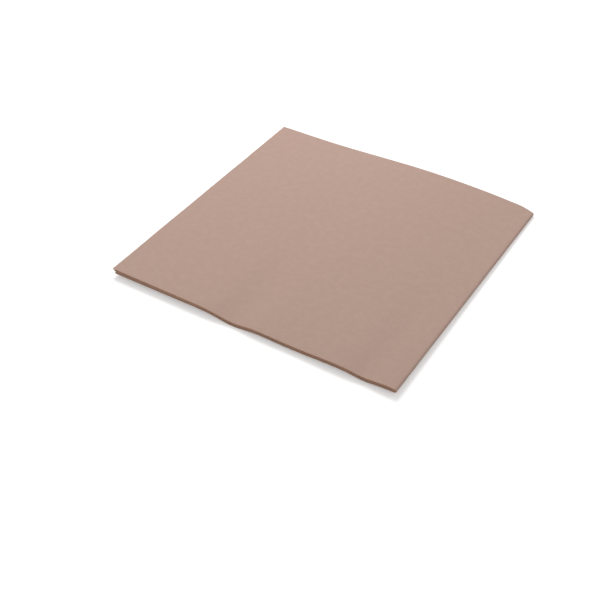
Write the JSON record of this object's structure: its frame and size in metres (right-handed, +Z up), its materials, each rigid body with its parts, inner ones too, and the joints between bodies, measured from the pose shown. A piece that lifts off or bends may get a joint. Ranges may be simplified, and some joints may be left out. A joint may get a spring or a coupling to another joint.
{
  "type": "paper napkin",
  "caption": "Square paper napkin folded twice into a quarter, with loose cut edges on two sides and folds on the other two.",
  "frame": {"origin": "centre of the folded napkin's outline, on the surface it lies on", "axes": "+X along the front cut edge towards the second fold, +Y towards the first fold at the back, +Z up"},
  "size_m": [0.2, 0.2, 0.0065],
  "materials": {
    "paper": "matt, softly fibrous airlaid paper, dyed a warm greyish taupe"
  },
  "bodies": {
    "root": {"napkin": "paper"}
  },
  "joints": []
}
